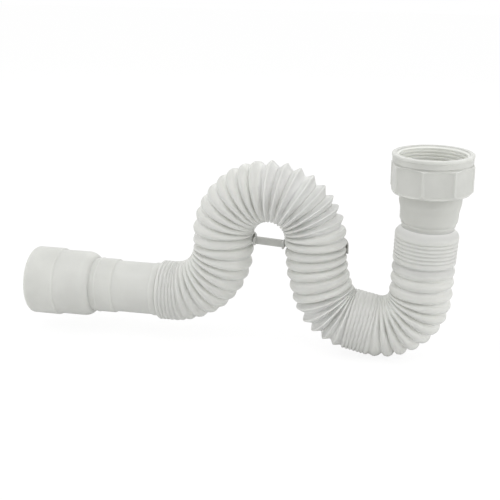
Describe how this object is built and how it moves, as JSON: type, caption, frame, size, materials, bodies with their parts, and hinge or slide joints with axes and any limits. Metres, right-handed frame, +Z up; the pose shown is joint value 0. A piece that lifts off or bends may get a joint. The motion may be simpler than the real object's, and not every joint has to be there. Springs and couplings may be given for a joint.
{
  "type": "flexible sink trap",
  "caption": "Bellows hose held in a water-seal bend by a clip, with an inlet nut above and a stepped outlet sleeve at the side.",
  "frame": {"origin": "centre of the inlet's seal face, the washer's top, on the inlet's axis", "axes": "+Z up, out of the inlet; the bend lies in the XZ plane and the outlet points along -X"},
  "size_m": [0.3191, 0.056, 0.1481],
  "materials": {
    "hose_plastic": "satin",
    "sleeve_plastic": "satin",
    "nut_plastic": "satin",
    "washer_rubber": "matte",
    "clip_plastic": "satin"
  },
  "bodies": {
    "trap": {"bellows_hose": "hose_plastic", "outlet_sleeve": "sleeve_plastic", "sealing_washer": "washer_rubber", "bend_clip": "clip_plastic"},
    "nut": {"coupling_nut": "nut_plastic"}
  },
  "joints": [
    {"name": "nut_turn", "type": "hinge", "parent": "trap", "child": "nut", "pos_m": [0, 0, 0], "axis": [0, 0, 1], "continuous": true}
  ]
}
